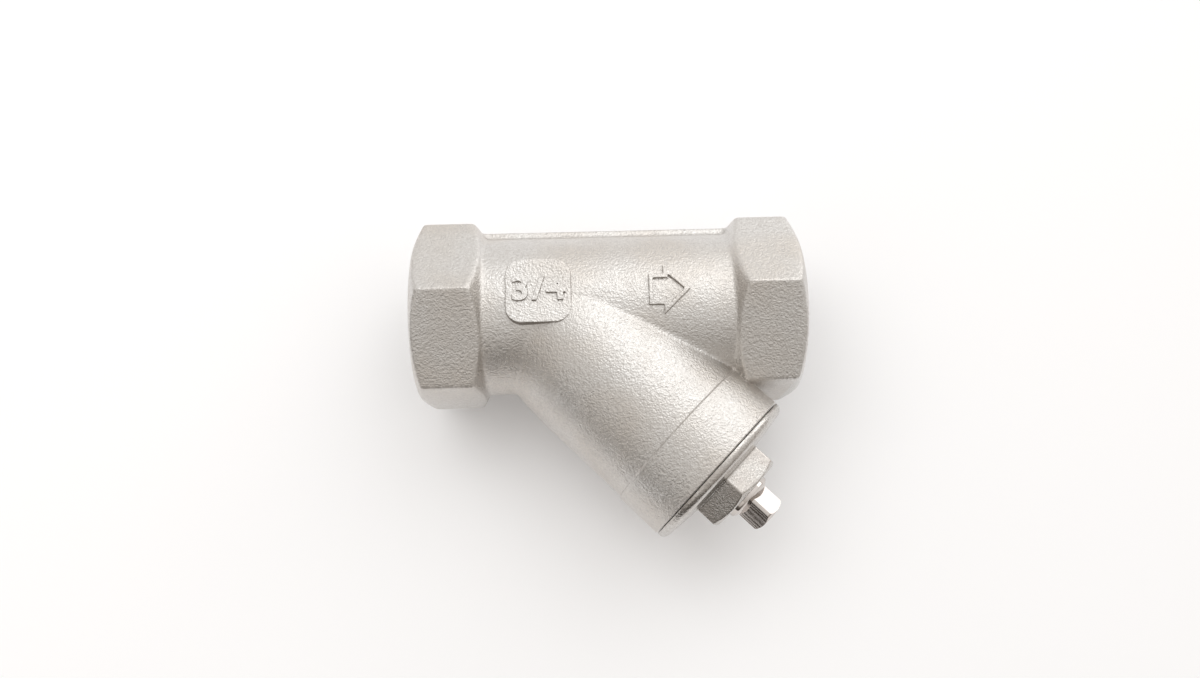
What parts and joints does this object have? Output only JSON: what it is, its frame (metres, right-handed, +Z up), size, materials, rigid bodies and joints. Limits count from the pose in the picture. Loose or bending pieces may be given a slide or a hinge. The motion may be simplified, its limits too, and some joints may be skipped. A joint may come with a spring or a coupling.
{
  "type": "y strainer",
  "caption": "Screwed Y strainer with hexagon ends, an angled branch, a screwed cap, a perforated screen inside and a square-headed drain plug.",
  "frame": {"origin": "centre of the inlet end face, on the axis of the run", "axes": "+X along the run in the direction of flow; +Z up with the strainer lying on its side; the branch leans towards +X and -Y in the XY plane at 45 degrees"},
  "size_m": [0.074, 0.0605, 0.0382],
  "materials": {
    "cast_steel": "bead-blasted investment casting",
    "cap_steel": "bead-blasted casting, lightly polished",
    "plug_steel": "turned and milled, bright",
    "screen_steel": "rolled perforated sheet",
    "screen_wire": "woven wire",
    "ptfe": "PTFE"
  },
  "bodies": {
    "strainer_body": {"body": "cast_steel", "cap_gasket": "ptfe"},
    "screen": {"screen_tube": "screen_steel", "screen_mesh": "screen_wire", "screen_top_ring": "screen_steel", "screen_bottom_ring": "screen_steel"},
    "cap": {"cap": "cap_steel"},
    "plug_seal": {"plug_tape": "ptfe"},
    "plug": {"drain_plug": "plug_steel"}
  },
  "joints": [
    {"name": "cap_travel", "type": "slide", "parent": "strainer_body", "child": "screen", "axis": [0.7071, -0.7071, 0], "range_m": [0, 0.0091]},
    {"name": "cap_turn", "type": "hinge", "parent": "screen", "child": "cap", "pos_m": [0.05969, -0.03394, 0], "axis": [0.7071, -0.7071, 0], "range_deg": [0, 2160]},
    {"name": "plug_travel", "type": "slide", "parent": "cap", "child": "plug_seal", "axis": [0.7071, -0.7071, 0], "range_m": [0, 0.00544]},
    {"name": "plug_turn", "type": "hinge", "parent": "plug_seal", "child": "plug", "pos_m": [0.06464, -0.03889, 0], "axis": [0.7071, -0.7071, 0], "range_deg": [0, 2166]}
  ],
  "couplings": [
    {"joint": "cap_travel", "follows": "cap_turn", "m_per_rad": 0.00023873},
    {"joint": "plug_turn", "follows": "plug_travel", "rad_per_m": 6927.4}
  ]
}
